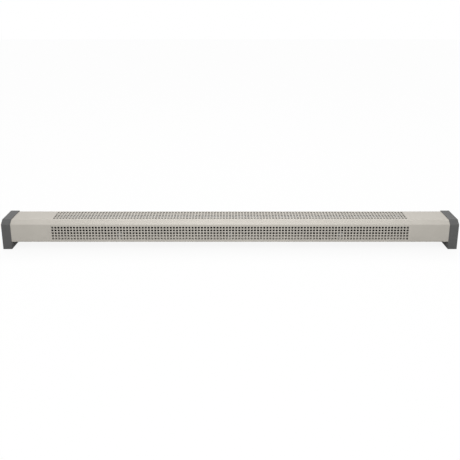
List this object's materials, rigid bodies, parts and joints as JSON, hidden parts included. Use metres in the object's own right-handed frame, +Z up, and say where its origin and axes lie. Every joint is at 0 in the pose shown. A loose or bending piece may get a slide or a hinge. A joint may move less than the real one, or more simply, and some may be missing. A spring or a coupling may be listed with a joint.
{
  "type": "plinth heater",
  "caption": "Long low electric convector heater: folded casing with a grille on its front and top, a sloping shoulder and dark end caps that reach the floor as feet.",
  "frame": {"origin": "on the floor, below the middle of the heater", "axes": "+X along the heater to its right end seen from the front, -Y to the front, +Z up"},
  "size_m": [1.466, 0.076, 0.098],
  "materials": {
    "casing_paint": "satin powder coat",
    "cap_plastic": "moulded, fine grain",
    "zinc_sheet": "galvanised",
    "element_aluminium": "black anodised",
    "rod_steel": "heat-tinted",
    "white_ceramic": "fired, unglazed",
    "zinc_fastener": "zinc plated",
    "tinned_lug": "tinned",
    "cutout_body": "moulded",
    "block_plastic": "moulded",
    "gland_plastic": "moulded",
    "black_rubber": "matte",
    "clip_plastic": "moulded",
    "brown_wire": "silicone sleeve",
    "blue_wire": "silicone sleeve",
    "green_wire": "silicone sleeve"
  },
  "bodies": {
    "root": {"casing": "casing_paint", "rear_panel": "casing_paint", "end_cap_left": "cap_plastic", "end_cap_right": "cap_plastic", "bulkhead_left": "zinc_sheet", "bulkhead_right": "zinc_sheet", "reflector": "zinc_sheet", "element_bracket_left": "zinc_sheet", "element_bracket_centre": "zinc_sheet", "element_bracket_right": "zinc_sheet", "cutout_clip": "zinc_sheet", "element_profile": "element_aluminium", "heating_rod": "rod_steel", "rod_bush_left": "white_ceramic", "rod_bush_right": "white_ceramic", "rod_insulators": "white_ceramic", "rod_studs": "zinc_fastener", "rod_nuts": "zinc_fastener", "bracket_rivets": "zinc_fastener", "reflector_rivets": "zinc_fastener", "cutout_rivets": "zinc_fastener", "block_screws": "zinc_fastener", "earth_screw": "zinc_fastener", "earth_nut": "zinc_fastener", "cap_screws": "zinc_fastener", "casing_rear_screws": "zinc_fastener", "casing_base_screws": "zinc_fastener", "bulkhead_screws": "zinc_fastener", "terminal_screws": "zinc_fastener", "lug_left": "tinned_lug", "lug_right": "tinned_lug", "lug_earth": "tinned_lug", "thermal_cutout": "cutout_body", "terminal_block": "block_plastic", "gland_body": "gland_plastic", "gland_dome": "gland_plastic", "gland_nut": "gland_plastic", "gland_seal": "black_rubber", "wire_grommets": "black_rubber", "wire_clips": "clip_plastic", "live_wire": "brown_wire", "link_wire": "brown_wire", "neutral_wire": "blue_wire", "earth_wire": "green_wire"}
  },
  "joints": []
}
